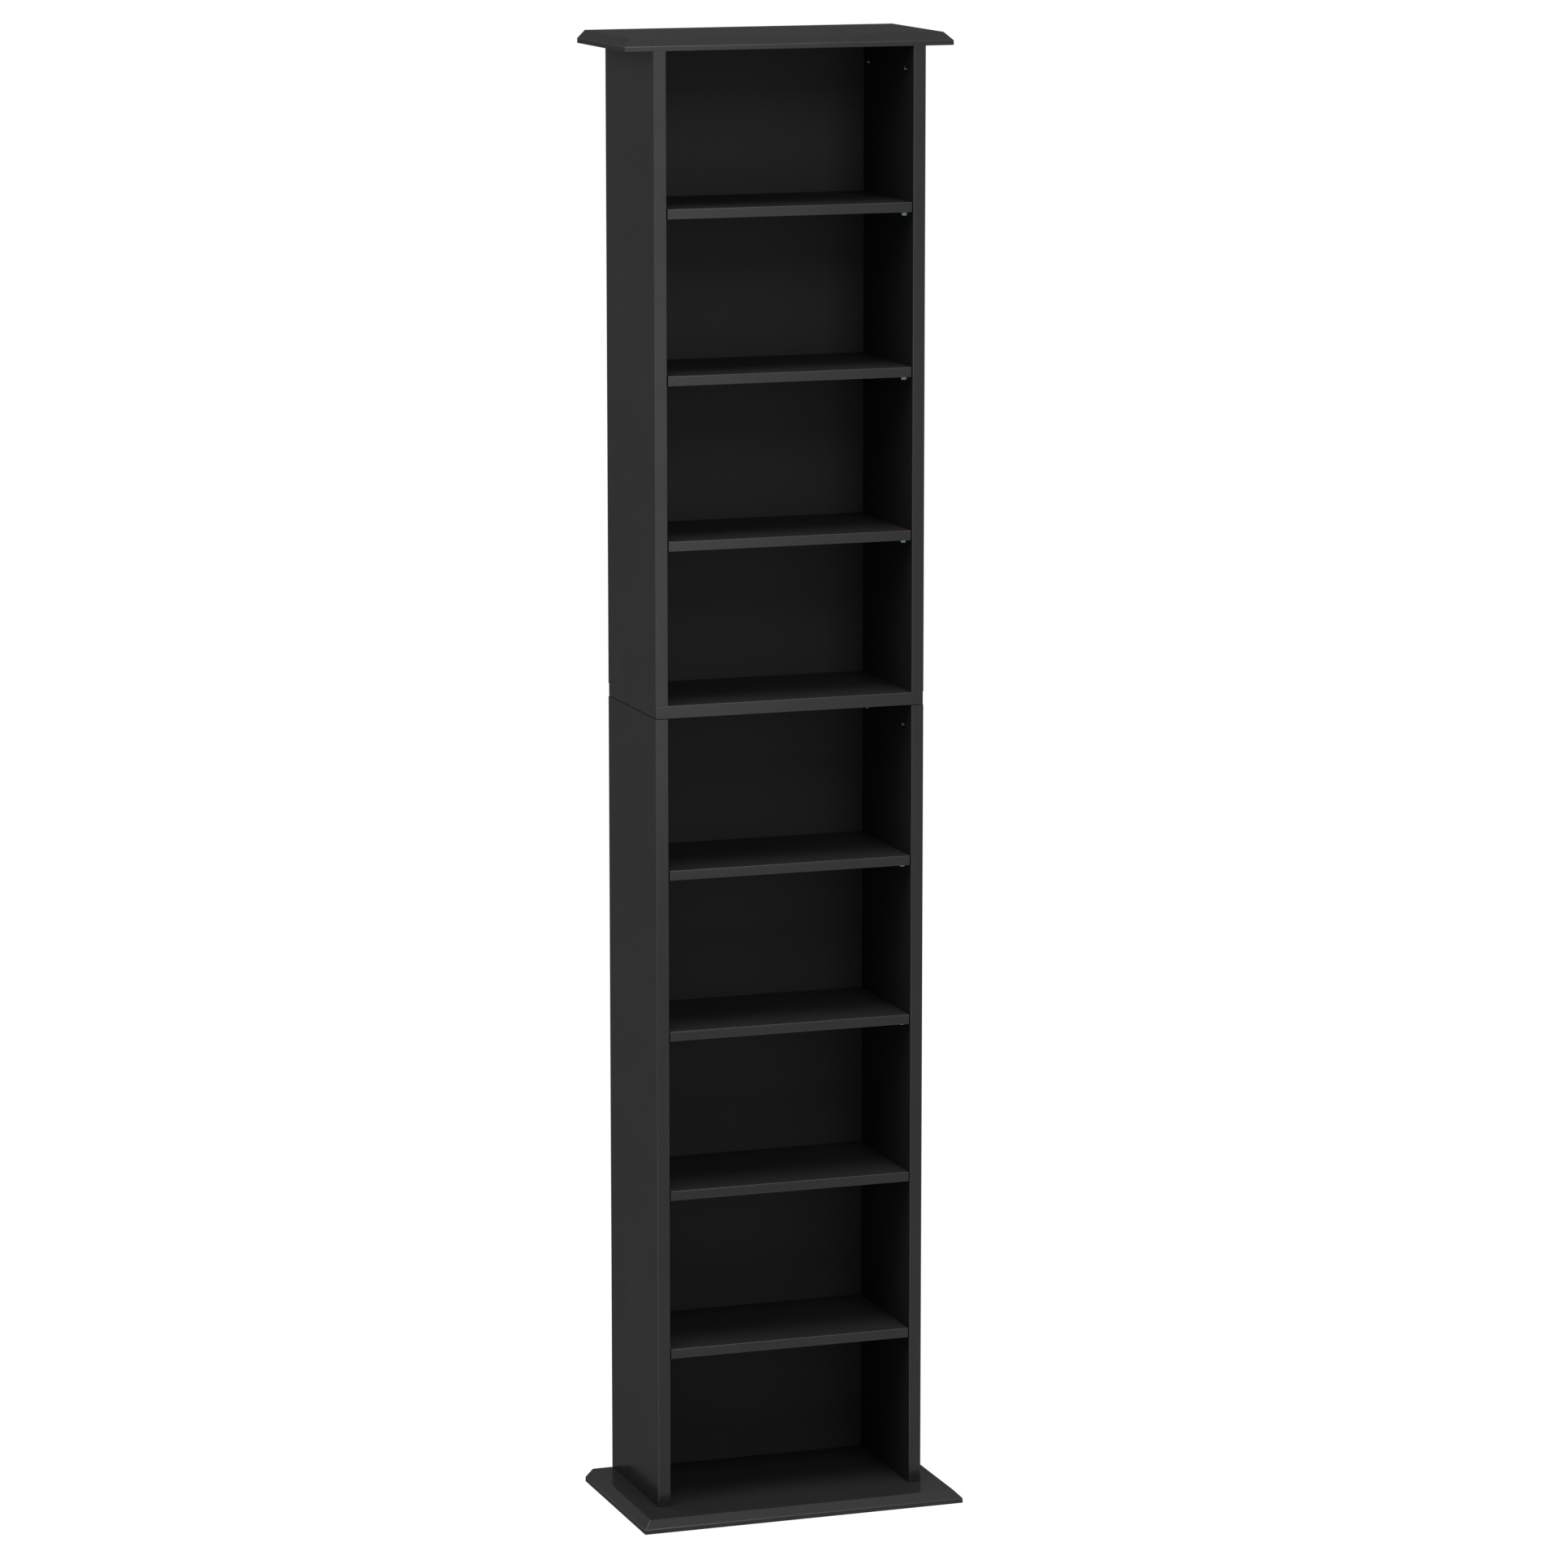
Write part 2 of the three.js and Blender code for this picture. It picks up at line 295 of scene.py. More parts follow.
def makeMetal(name):
    sizes = metals[name]
    finish = newFinish(name)
    grain = finish.noise(**sizes["grain"])
    spots = finish.noise(**tarnish["spots"]).rise(*tarnish["contrast"])
    return finish.surface({
        "Base Color": finish.blend(spots, sizes["colour"], sizes["dull"]),
        "Metallic": 1.0,
        "Roughness": sizes["roughness"] + sizes["roughnessSpread"] * spots,
        "Normal": finish.bump(grain, sizes["grainDepth"]),
    })


# Turned beech, streaked along its length
beech = {
    "colour": (0.42, 0.25, 0.12, 1),
    "paleColour": (0.62, 0.42, 0.24, 1),
    "roughness": 0.6,
    "roughnessSpread": 0.2,
    "streaks": {"perMetre": 900, "detail": 3, "stretch": (1, 1, 0.06)},
    "streakDepth": 0.03 * mm,
}


def makeBeech():
    sizes = beech
    finish = newFinish("dowel_beech")
    streaks = finish.noise(**sizes["streaks"])
    return finish.surface({
        "Base Color": finish.blend(streaks, sizes["colour"], sizes["paleColour"]),
        "Roughness": sizes["roughness"] + sizes["roughnessSpread"] * streaks,
        "Normal": finish.bump(streaks, sizes["streakDepth"]),
    })


finishes = {
    "black_laminate": makeLaminate(),
    "black_hardboard": makeHardboard(),
    "pin_plastic": makePinPlastic(),
    "cam_zinc": makeMetal("cam_zinc"),
    "screw_steel": makeMetal("screw_steel"),
    "dowel_beech": makeBeech(),
}
slots = [slot for slot in finishes if slot != "dowel_beech"]    # those that the record names
print("finishes made:", len(finishes))


# Shapes are bmeshes until they are done.
def cuboid(low, high):
    shape = bmesh.new()
    low, high = Vector(low), Vector(high)
    bmesh.ops.create_cube(shape, size=1)
    bmesh.ops.scale(shape, vec=high - low, verts=shape.verts)
    bmesh.ops.translate(shape, vec=(low + high) / 2, verts=shape.verts)
    return shape


def facing(direction):
    return Vector(direction).to_track_quat("Z", "Y").to_matrix().to_4x4()


# A bar or a bore from a start, along a direction; its end may have another radius.
def rod(start, direction, length, radius, endRadius=None, sides=32):
    shape = bmesh.new()
    ahead = Matrix.Translation((0, 0, length / 2))
    put = Matrix.Translation(Vector(start)) @ facing(direction) @ ahead
    endRadius = radius if endRadius is None else endRadius
    bmesh.ops.create_cone(shape, cap_ends=True, segments=sides, radius1=radius, radius2=endRadius,
                          depth=length, matrix=put)
    return shape


def lineOf(shape, profile, closed=False):
    points = [shape.verts.new((radius, 0, height)) for radius, height in profile]
    starts, ends = (points, points[1:] + points[:1]) if closed else (points[:-1], points[1:])
    return points + [shape.edges.new(pair) for pair in zip(starts, ends)]


# A turned piece round Z, from a profile of (radius, height) that starts and ends on the axis
def turned(profile, sides=32):
    shape = bmesh.new()
    bmesh.ops.spin(shape, geom=lineOf(shape, profile), cent=(0, 0, 0), axis=upwards,
                   angle=2 * math.pi, steps=sides, use_merge=True)
    bmesh.ops.remove_doubles(shape, verts=shape.verts, dist=weldWithin)
    bmesh.ops.recalc_face_normals(shape, faces=shape.faces)
    return shape


# A screw thread round Z: a ridge that winds up and runs out at both ends
ridgeShares = {
    "half": 0.36,                # of its width, in pitches
    "foot": 0.96,                # how far out it starts, in radii of the core
    "fade": 0.8,                 # along which it runs out, in pitches
}


def thread(bottom, top, core, crest, pitch, sides=20):
    shape = bmesh.new()
    half = ridgeShares["half"] * pitch
    inner = ridgeShares["foot"] * core
    rounds = (top - bottom - 2 * half) / pitch
    steps = round(rounds * sides)
    profile = ((inner, bottom), (crest, bottom + half), (inner, bottom + 2 * half))
    ridge = lineOf(shape, profile, closed=True)
    bmesh.ops.spin(shape, geom=ridge, cent=(0, 0, 0), axis=upwards, angle=2 * math.pi * rounds,
                   dvec=(0, 0, pitch * rounds / steps), steps=steps)
    for point in shape.verts:
        run = min(point.co.z - bottom, top - point.co.z) / (pitch * ridgeShares["fade"])
        radius = point.co.xy.length
        wanted = inner + (radius - inner) * min(1, max(0, run))
        point.co.xy *= wanted / radius
    bmesh.ops.holes_fill(shape, edges=[edge for edge in shape.edges if edge.is_boundary])
    bmesh.ops.recalc_face_normals(shape, faces=shape.faces)
    return shape


# The edges that lie in every one of the given planes, each an axis number and a place on it
def arrises(shape, *planes):
    def lies(edge):
        return all(abs(end.co[axis] - place) < tiny for end in edge.verts for axis, place in planes)
    return [edge for edge in shape.edges if lies(edge)]


# Rounds edges; the new faces are marked, so that the finish knows where it is rubbed
# and where its paler colour paints a highlight line.
def soften(shape, edges, radius, steps=3):
    mark = shape.faces.layers.float.get("arris") or shape.faces.layers.float.new("arris")
    made = bmesh.ops.bevel(shape, geom=edges, offset=radius, offset_type="OFFSET", affect="EDGES",
                           segments=steps, profile=0.5, material=-1)
    for face in made["faces"]:
        face[mark] = 1
    return mark


def meshOf(shape, name):
    mesh = bpy.data.meshes.new(name)
    shape.to_mesh(mesh)
    shape.free()
    return mesh


def objectOf(shape, name):
    made = bpy.data.objects.new(name, meshOf(shape, name))
    bpy.context.scene.collection.objects.link(made)
    return made


def joined(shapes):
    whole = bmesh.new()
    for shape in shapes:
        mesh = meshOf(shape, "part")
        whole.from_mesh(mesh)
        bpy.data.meshes.remove(mesh)
    return whole


# Takes the cutters away from a shape.
def cutAway(shape, cutters):
    work = objectOf(shape, "work")
    cutter = objectOf(joined(cutters), "cutter")
    boolean = work.modifiers.new("cut", "BOOLEAN")
    boolean.operation = "DIFFERENCE"
    boolean.solver = "EXACT"
    boolean.use_self = True
    boolean.object = cutter
    result = bmesh.new()
    result.from_object(work, bpy.context.evaluated_depsgraph_get())
    for temporary in (work, cutter):
        mesh = temporary.data
        bpy.data.objects.remove(temporary)
        bpy.data.meshes.remove(mesh)
    return result


# A finished shape becomes a piece of the tower: shaded, riding on its body and standing for
# its node.
def piece(name, shape, finish, body, node, sharpFrom=40):
    made = objectOf(shape, name)
    made.data.materials.clear()
    made.data.materials.append(finishes[finish])
    made.data.shade_smooth()
    made.data.set_sharp_from_angle(angle=math.radians(sharpFrom))
    flat = made.modifiers.new("flat faces stay flat", "WEIGHTED_NORMAL")
    flat.keep_sharp = True
    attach(made, body)
    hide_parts(node)
    finish in slots
    return made


# The same small piece in many places
def copyOf(mesh, start, direction):
    shape = bmesh.new()
    shape.from_mesh(mesh)
    put = Matrix.Translation(Vector(start)) @ facing(direction)
    bmesh.ops.transform(shape, matrix=put, verts=shape.verts)
    return shape


# Boards
board = {
    "frontRound": 0.9 * mm,      # of the band on the front edge
    "frontSteps": 4,
    "backRound": 0.5 * mm,
    "backSteps": 2,
    "endRound": 0.18 * mm,       # where a board is sawn off and butts against another
    "shelfEndRound": 0.4 * mm,
    "endSteps": 2,
    "bandThick": 1.6 * mm,       # of the glued front edge band
    "jointWidth": 0.12 * mm,     # of the hairline behind the band
    "jointDepth": 0.08 * mm,
    "seam": 0.5 * mm,            # left open where the middle board lies on the lower case
    "seamDepth": 3 * mm,
}
bore = {
    "play": 0.3 * mm,            # around what is fitted into it
    "blind": 1 * mm,             # left free at its end
    "overrun": 1 * mm,           # of a cutter past the face it opens
}
plate = {"slant": 10 * mm, "foldRound": {"top_plate": 0.5 * mm, "base_plate": 0.8 * mm}}

# Fittings, whose bores the boards need
pin = {
    "head": 6 * mm, "headLength": 5 * mm, "tipRound": 0.8 * mm,
    "stem": 5 * mm, "stemLength": 9 * mm, "stemTaper": 0.6 * mm,
    "dimple": 1.1 * mm, "dimpleDepth": 0.25 * mm, "dimpleFootShare": 0.8,
    "tipSteps": 4, "boreSides": 24,
}
cam = {
    "size": 10 * mm, "length": 12 * mm, "rim": 0.2 * mm,
    "ringWidth": 0.7 * mm, "ringDepth": 0.3 * mm,    # raised round the face
    "crossLength": 6.6 * mm, "crossWidth": 1.5 * mm, "crossDepth": 2.5 * mm, "crossTaper": 0.6,
    "arrow": 0.45 * mm, "arrowFrom": 3.7 * mm, "arrowDepth": 0.5 * mm,
    "mouth": 6.8 * mm,
    "sides": 64, "boreSides": 48, "arrowSides": 3,
}
bolt = {
    "drop": 30 * mm,             # of its head below the board it is screwed into
    "head": 6 * mm, "headLength": 2.4 * mm, "headRound": 0.4 * mm,
    "neck": 3.5 * mm, "neckLength": 4 * mm,
    "shank": 5 * mm,
    "collar": 7 * mm, "collarLength": 1.2 * mm,
    "thread": 5.6 * mm, "threadLength": 10 * mm, "core": 4.2 * mm, "pitch": 1.7 * mm,
}
screw = {
    "head": 9 * mm, "headRise": 3.6 * mm, "rim": 0.4 * mm, "sink": 0.6 * mm,
    "shank": 5 * mm, "core": 3.6 * mm, "length": 50 * mm, "point": 5 * mm,
    "threadFrom": 18 * mm, "pitch": 2.4 * mm,
    "pointShare": 0.6,           # of the point that the thread leaves bare
    "crossLength": 4.4 * mm, "crossWidth": 1.1 * mm, "crossDepth": 2 * mm, "crossTaper": 0.5,
}
dowel = {
    "size": 8 * mm, "rise": 10 * mm, "round": 1 * mm, "glueGap": 0.05 * mm,
    "flutes": 20, "fluteDepth": 0.22 * mm,
}
cases = {
    "lower": {"over": "middle_board", "shelves": (4, 5, 6, 7)},
    "upper": {"over": "top_plate", "shelves": (1, 2, 3)},
}
for case in cases.values():
    case["ceiling"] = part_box(case["over"])[0].z
shelfNumbers = sorted(number for case in cases.values() for number in case["shelves"])


def middleOf(node):
    low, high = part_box(node)
    return (low + high) / 2


def innerSide(node, hand):
    low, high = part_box(node)
    return low.x if hand > 0 else high.x


def sideX(hand):
    return hand * abs(middleOf("lower_side_right").x)


def fittings(case, kind):
    return [f"{case}_{kind}_{handName}_{place}" for handName in hands for place in places]


def screwBore(node):
    at = middleOf(node)
    at.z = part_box(node)[0].z
    mouth = screw["sink"] + bore["overrun"]
    head = screw["head"] / 2 + bore["play"]
    shank = screw["shank"] / 2 + bore["play"]
    under = at - Vector((0, 0, mouth))
    over = at + Vector((0, 0, screw["headRise"] - tiny))
    return [
        rod(under, upwards, mouth + tiny, head),
        rod(at, upwards, screw["headRise"], head, shank),
        rod(over, upwards, screw["length"], shank),
    ]


# Bores in the underside of the board that a case carries
def ceilingBores(case):
    cutters = []
    start = cases[case]["ceiling"] - bore["overrun"]
    blind = bore["overrun"] + bore["blind"]
    for handName, hand in hands.items():
        for place in places:
            y = middleOf(f"{case}_cam_{handName}_{place}").y
            cutters.append(rod((sideX(hand), y, start), upwards, bolt["threadLength"] + blind,
                               bolt["thread"] / 2 + bore["play"]))
        y = middleOf(f"{case}_side_{handName}").y
        cutters.append(rod((sideX(hand), y, start), upwards, dowel["rise"] + blind,
                           dowel["size"] / 2 + bore["play"]))
    return cutters


# The hairline where the front edge band meets the faces of the board
def scoreBand(shape, front):
    line = front + board["bandThick"]
    for shift in (-1, 0, 1):
        bmesh.ops.bisect_plane(
            shape, geom=[*shape.verts, *shape.edges, *shape.faces], dist=weldWithin,
            plane_co=(0, line + shift * board["jointWidth"] / 2, 0), plane_no=(0, 1, 0))
    shape.normal_update()
    for point in shape.verts:
        if abs(point.co.y - line) < tiny:
            inwards = -point.normal
            inwards.y = 0
            point.co += inwards.normalized() * board["jointDepth"]


# A board with a banded front edge; its ends lie across one axis and its faces across another.
def boardShape(low, high, ends, faces, endRound):
    shape = cuboid(low, high)
    for y, edge in ((low.y, "front"), (high.y, "back")):
        picked = [edge for face in (low[faces], high[faces])
                  for edge in arrises(shape, (1, y), (faces, face))]
        soften(shape, picked, board[edge + "Round"], board[edge + "Steps"])
    for end in (low[ends], high[ends]):
        soften(shape, arrises(shape, (ends, end)), endRound, board["endSteps"])
    scoreBand(shape, low.y)
    return shape


# Plates: their upper edges are cut off at a slant in front and at both ends. The foil runs on
# over them; only the fold above the lip keeps the arris mark, where it is rubbed and where a
# paler colour paints a highlight line.
def plateShape(node):
    low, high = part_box(node)
    shape = cuboid(low, high)
    picked = [edge for side in ((1, low.y), (0, low.x), (0, high.x))
              for edge in arrises(shape, (2, high.z), side)]
    bmesh.ops.bevel(shape, geom=picked, offset=plate["slant"], offset_type="OFFSET", affect="EDGES",
                    segments=1, profile=0.5, material=-1)
    foldRound = plate["foldRound"][node]
    mark = soften(shape, list(shape.edges), foldRound)
    fold = high.z - plate["slant"]
    for face in shape.faces:
        if abs(face.calc_center_median().z - fold) > foldRound:
            face[mark] = 0
    return shape


def screwBores(case):
    return [cutter for node in fittings(case, "screw") for cutter in screwBore(node)]


piece("base_plate_board", cutAway(plateShape("base_plate"), screwBores("lower")),
      "black_laminate", "case", "base_plate")
piece("top_plate_board", cutAway(plateShape("top_plate"), ceilingBores("upper")),
      "black_laminate", "case", "top_plate")
middleBoard = boardShape(*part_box("middle_board"), 0, 2, board["backRound"])
piece("middle_board_panel", cutAway(middleBoard, ceilingBores("lower") + screwBores("upper")),
      "black_laminate", "case", "middle_board")
print("plates and middle board made")


# The fine shadow line under the middle board, round the outside and the front of a side
def seamCutters(low, high, hand):
    over = Vector.Fill(3, bore["overrun"])
    start, end = low - over, high + over
    start.z = high.z - board["seam"]
    outside, front = start.copy(), end.copy()
    outside.x = (high if hand > 0 else low).x - hand * board["seamDepth"]
    front.y = low.y + board["seamDepth"]
    beside = end.copy()
    beside.x = (end if hand > 0 else start).x
    pairs = list(zip(outside, beside))
    return [
        cuboid([min(pair) for pair in pairs], [max(pair) for pair in pairs]),
        cuboid(start, front),
    ]


# Sides: grooved for the back panel, and bored for pins, cams, bolts, screws and a dowel
def sideShape(case, handName):
    hand = hands[handName]
    low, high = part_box(f"{case}_side_{handName}")
    high.z = cases[case]["ceiling"]
    shape = boardShape(low, high, 2, 0, board["endRound"])
    inner = innerSide(f"{case}_side_{handName}", hand)
    mouth = inner - hand * bore["overrun"]
    outwards = (hand, 0, 0)
    blind = bore["overrun"] + bore["blind"]
    play = bore["play"]
    panelLow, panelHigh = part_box(f"{case}_back_panel")
    reach = hand * (panelHigh.x + play)
    cutters = [cuboid((min(mouth, reach), panelLow.y - play, low.z - bore["overrun"]),
                      (max(mouth, reach), panelHigh.y + play, high.z + bore["overrun"]))]
    for number in cases[case]["shelves"]:
        for place in places:
            at = middleOf(f"shelf_{number}_pin_{handName}_{place}")
            cutters.append(rod((mouth, at.y, at.z), outwards, pin["stemLength"] + blind,
                               pin["stem"] / 2 + play, sides=pin["boreSides"]))
    for place in places:
        y = middleOf(f"{case}_cam_{handName}_{place}").y
        z = high.z - bolt["drop"]
        cutters.append(rod((mouth, y, z), outwards, cam["length"] + blind,
                           cam["size"] / 2 + play, sides=cam["boreSides"]))
        cutters.append(rod((sideX(hand), y, z), upwards, bolt["drop"] + bore["overrun"],
                           bolt["collar"] / 2 + play))
        cutters.extend(screwBore(f"{case}_screw_{handName}_{place}"))
    y = middleOf(f"{case}_side_{handName}").y
    cutters.append(rod((sideX(hand), y, high.z - dowel["rise"] - bore["blind"]), upwards,
                       dowel["rise"] + blind, dowel["size"] / 2 + dowel["glueGap"]))
    if case == "lower":
        cutters.extend(seamCutters(low, high, hand))
    return cutAway(shape, cutters)


for case in cases:
    for handName in hands:
        node = f"{case}_side_{handName}"
        piece(f"{node}_panel", sideShape(case, handName), "black_laminate", "case", node)
print("sides made")


# Shelves, loose on their pins
for number in shelfNumbers:
    node = f"shelf_{number}"
    shape = boardShape(*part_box(node), 0, 2, board["shelfEndRound"])
    piece(f"{node}_board", shape, "black_laminate", node, node)
print("shelves made")


# The back panels keep their solids and get soft edges and their own finish.
for case in cases:
    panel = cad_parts[f"{case}_back_panel"]
    for slot in panel.material_slots:
        slot.material = finishes["black_hardboard"]
    panel.modifiers.new("one skin", "WELD").merge_threshold = tiny
    edge = panel.modifiers.new("soft edges", "BEVEL")
    edge.width = hardboard["edgeRound"]
    edge.segments = hardboard["edgeSteps"]
print("back panels finished")


# Pins, with a rounded tip and the mark of the mould in it
def pinShape():
    sizes = pin
    radius, stem, tip = sizes["head"] / 2, sizes["stem"] / 2, sizes["tipRound"]
    length = sizes["headLength"]
    end = length + sizes["stemLength"]
    steps = sizes["tipSteps"]
    quarter = [math.radians(90 * step / steps) for step in range(steps + 1)]
    arc = [(radius - tip + tip * math.sin(turn), tip - tip * math.cos(turn)) for turn in quarter]
    dimple, depth = sizes["dimple"], sizes["dimpleDepth"]
    return turned([
        (0, depth), (dimple * sizes["dimpleFootShare"], depth), (dimple, 0),
        *arc, (radius, length), (stem, length), (stem, end - sizes["stemTaper"]),
        (stem - sizes["stemTaper"], end), (0, end),
    ])


pinMesh = meshOf(pinShape(), "pin")
for number in shelfNumbers:
    for handName, hand in hands.items():
        for place in places:
            node = f"shelf_{number}_pin_{handName}_{place}"
            start = middleOf(node)
            start.x = innerSide(node, hand)
            piece(f"{node}_peg", copyOf(pinMesh, start, (hand, 0, 0)), "pin_plastic", "case", node)
print("pins made")


# The cross for a driver, narrower at its foot
def crossCutters(sizes):
    arms = []
    long, wide = sizes["crossLength"] / 2, sizes["crossWidth"] / 2
    for x, y in ((long, wide), (wide, long)):
        arm = cuboid((-x, -y, -bore["overrun"]), (x, y, sizes["crossDepth"]))
        foot = [point for point in arm.verts if point.co.z > 0]
        bmesh.ops.scale(arm, vec=(sizes["crossTaper"], sizes["crossTaper"], 1), verts=foot)
        arms.append(arm)
    return arms


# Cams lie in the sides, each with a pocket for the head of its bolt.
def camShape():
    sizes = cam
    radius, rim, length = sizes["size"] / 2, sizes["rim"], sizes["length"]
    ring, dip = radius - rim - sizes["ringWidth"], sizes["ringDepth"]
    body = turned([
        (0, dip), (ring - dip / 2, dip), (ring, 0), (radius - rim, 0), (radius, rim),
        (radius, length - rim), (radius - rim, length), (0, length),
    ], sizes["sides"])
    overrun = bore["overrun"]
    pocketAt = abs(sideX(1)) - abs(innerSide("lower_cam_right_front", 1))
    arrow = rod((0, sizes["arrowFrom"], -overrun), upwards, overrun + sizes["arrowDepth"],
                sizes["arrow"], sides=sizes["arrowSides"])
    pocket = rod((0, bolt["headLength"] / 2, pocketAt), (0, 1, 0), radius, sizes["mouth"] / 2)
    return cutAway(body, [*crossCutters(sizes), arrow, pocket])


def boltShape():
    sizes = bolt
    head, soft, headTop = sizes["head"] / 2, sizes["headRound"], sizes["headLength"]
    neck, shank = sizes["neck"] / 2, sizes["shank"] / 2
    neckTop = headTop + sizes["neckLength"]
    collarTop = sizes["drop"] + headTop / 2
    collar, collarFoot = sizes["collar"] / 2, collarTop - sizes["collarLength"]
    core, top = sizes["core"] / 2, collarTop + sizes["threadLength"]
    bar = turned([
        (0, 0), (head - soft, 0), (head, soft), (head, headTop - soft), (head - soft, headTop),
        (neck, headTop), (neck, neckTop), (shank, neckTop + shank - neck),
        (shank, collarFoot), (collar, collarFoot), (collar, collarTop), (core, collarTop),
        (core, top - core / 2), (core / 2, top), (0, top),
    ])
    crest = sizes["thread"] / 2
    return joined([bar, thread(collarTop, top - core / 2, core, crest, sizes["pitch"])])


camMesh = meshOf(camShape(), "cam")
boltMesh = meshOf(boltShape(), "bolt")
for case in cases:
    for handName, hand in hands.items():
        for place in places:
            node = f"{case}_cam_{handName}_{place}"
            y = middleOf(node).y
            z = cases[case]["ceiling"] - bolt["drop"]
            start = (innerSide(node, hand), y, z)
            piece(f"{node}_drum", copyOf(camMesh, start, (hand, 0, 0)), "cam_zinc", "case", node)
            start = (sideX(hand), y, z - bolt["headLength"] / 2)
            piece(f"{node}_bolt", copyOf(boltMesh, start, upwards), "screw_steel", "case", node)
print("cams and bolts made")


# Countersunk screws
def screwShape():
    sizes = screw
    head, rise, rim = sizes["head"] / 2, sizes["headRise"], sizes["rim"]
    shank, core = sizes["shank"] / 2, sizes["core"] / 2
    threadFrom, top = sizes["threadFrom"], sizes["length"]
    bar = turned([
        (0, 0), (head - rim / 2, 0), (head, rim / 2), (head, rim), (shank, rise),
        (shank, threadFrom), (core, threadFrom + shank - core),
        (core, top - sizes["point"]), (0, top),
    ])
    bar = cutAway(bar, crossCutters(sizes))
    threadTo = top - sizes["point"] * sizes["pointShare"]
    return joined([bar, thread(threadFrom, threadTo, core, shank, sizes["pitch"])])


screwMesh = meshOf(screwShape(), "screw")
for case in cases:
    for node in fittings(case, "screw"):
        start = middleOf(node)
        start.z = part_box(node)[0].z
        piece(f"{node}_bar", copyOf(screwMesh, start, upwards), "screw_steel", "case", node)


# Fluted dowels, glued into the sides and pushed into the board above: every second column
# of points is drawn in.
def dowelShape():
    sizes = dowel
    radius, soft, length = sizes["size"] / 2, sizes["round"], 2 * sizes["rise"]
    columns = 2 * sizes["flutes"]
    shape = turned([(0, 0), (radius - soft, 0), (radius, soft), (radius, length - soft),
                    (radius - soft, length), (0, length)], columns)
    for point in shape.verts:
        column = round(math.atan2(point.co.y, point.co.x) / (2 * math.pi) * columns)
        if column % 2:
            point.co.xy *= 1 - sizes["fluteDepth"] / radius
    return shape


dowelMesh = meshOf(dowelShape(), "dowel")
for case in cases:
    for handName, hand in hands.items():
        node = f"{case}_side_{handName}"
        start = (sideX(hand), middleOf(node).y, cases[case]["ceiling"] - dowel["rise"])
        piece(f"{node}_dowel", copyOf(dowelMesh, start, upwards), "dowel_beech", "case", node)
print("screws and dowels made")


# Studio: a pale floor that catches a soft shadow near the tower and is plain white further off.
# It is seen from above only.
studio = {
    "worldLevel": 0.40,
    "floorSize": 40,
    "floorBelow": 0.2 * mm,       # keeps it clear of the underside of the base plate
    "floorColour": grey(0.40),
    "floorSeen": grey(0.20),      # paler in shadow for the camera, together with the lift
    "lift": 0.82,
    "whiteFrom": 0.9,
    "whiteTo": 2.2,
}
lamps = {
    "glow": {"place": (0.35, -2.9, 1.25), "aim": (0.2, 0, 1.25), "size": (1.2, 1.9), "power": 11},
    "key": {"place": (0.35, -3.0, 3.4), "aim": (0, 0, 1.0), "size": (1.3, 1.2), "power": 48},
    "fill": {"place": (-4.5, -1.5, 4.2), "aim": (0, 0, 0.6), "size": (2.4, 2.4), "power": 72},
    "behind": {"place": (-3.0, 2.8, 3.0), "aim": (0, 0, 0.9), "size": (2.0, 2.0), "power": 45},
}
zenith = {"from": (-0.06, -0.2, 0.98), "softness": 24, "strength": 2.2}


# 1 for rays that show the background, directly, mirrored or through something clear
def seenRay(finish):
    camera, glossy, through = [finish.node("LightPath", output=f"Is {kind} Ray")
                               for kind in ("Camera", "Glossy", "Transmission")]
    return camera.atLeast(glossy).atLeast(through)


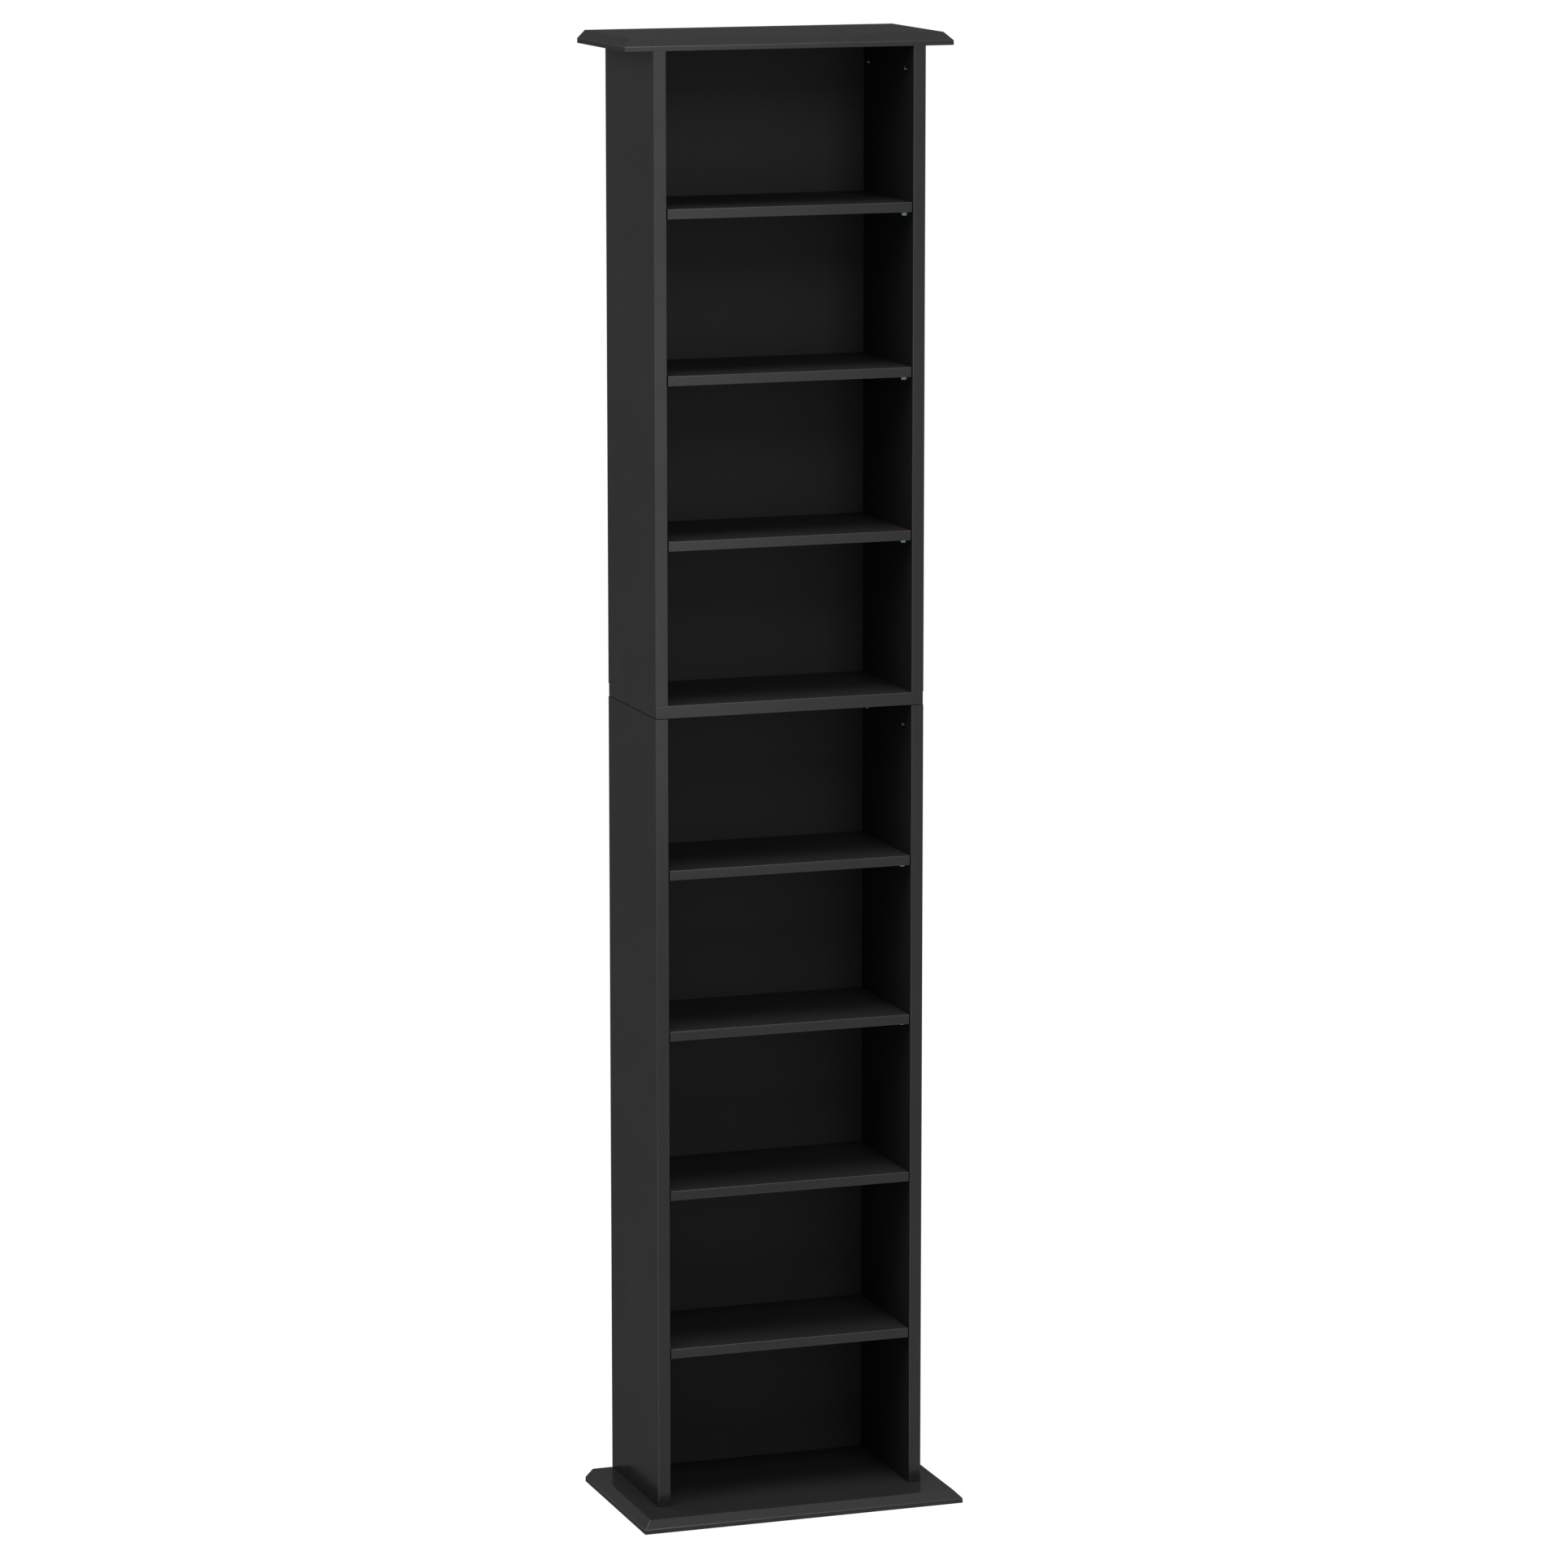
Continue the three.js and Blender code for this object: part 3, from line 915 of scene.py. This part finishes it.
def makeFloor():
    finish = newFinish("studio_floor")
    away = finish.node("VectorMath", {"operation": "LENGTH"}, {0: finish.place()}, "Value")
    plain = finish.node("BsdfDiffuse", values={"Color": studio["floorColour"]})
    pale = finish.node("BsdfDiffuse", values={"Color": studio["floorSeen"]})
    lift = finish.node("Emission", values={"Color": grey(1), "Strength": studio["lift"]})
    white = finish.node("Emission", values={"Color": grey(1), "Strength": 1.0})
    lifted = finish.node("AddShader", values={0: pale, 1: lift})
    far = away.rise(studio["whiteFrom"], studio["whiteTo"])
    seen = finish.node("MixShader", values={0: far, 1: lifted, 2: white})
    above = finish.node("MixShader", values={0: seenRay(finish), 1: plain, 2: seen})
    below = finish.node("NewGeometry", output="Backfacing")
    clear = finish.node("BsdfTransparent")
    return finish.close(finish.node("MixShader", values={0: below, 1: above, 2: clear}))


floorShape = bmesh.new()
bmesh.ops.create_grid(floorShape, x_segments=1, y_segments=1, size=studio["floorSize"] / 2)
bmesh.ops.translate(floorShape, vec=(0, 0, -studio["floorBelow"]), verts=floorShape.verts)
floor = objectOf(floorShape, "studio_floor")
floor.data.materials.append(makeFloor())

scene = bpy.context.scene
scene.world = bpy.data.worlds.new("studio")
sky = Finish(scene.world)
strength = studio["worldLevel"] + (1 - studio["worldLevel"]) * seenRay(sky)
sky.close(sky.node("Background", values={"Color": grey(1), "Strength": strength}), "OutputWorld")


def hang(lamp, place, aim):
    holder = bpy.data.objects.new(lamp.name, lamp)
    holder.location = place
    direction = Vector(aim) - holder.location
    holder.rotation_euler = direction.to_track_quat("-Z", "Y").to_euler()
    scene.collection.objects.link(holder)


for name, sizes in lamps.items():
    lamp = bpy.data.lights.new(name, "AREA")
    lamp.shape = "RECTANGLE"
    lamp.size, lamp.size_y = sizes["size"]
    lamp.energy = sizes["power"]
    hang(lamp, sizes["place"], sizes["aim"])
lamp = bpy.data.lights.new("zenith", "SUN")
lamp.angle = math.radians(zenith["softness"])
lamp.energy = zenith["strength"]
hang(lamp, zenith["from"], (0, 0, 0))
print("studio lit")


# Camera: where the photograph was taken from, turned down to the tower
view = {
    "place": (-2.552, -7.372, 2.325), "heading": 19.198, "tilt": 10.203,
    "lens": 145.08, "sensor": 36, "reach": 200,
}
camera = bpy.data.objects.new("camera", bpy.data.cameras.new("camera"))
camera.data.sensor_width = view["sensor"]
camera.data.lens = view["lens"]
camera.data.clip_end = view["reach"]
camera.location = view["place"]
camera.rotation_euler = (math.radians(90 - view["tilt"]), 0, -math.radians(view["heading"]))
scene.collection.objects.link(camera)
scene.camera = camera
scene.view_settings.view_transform = "Standard"
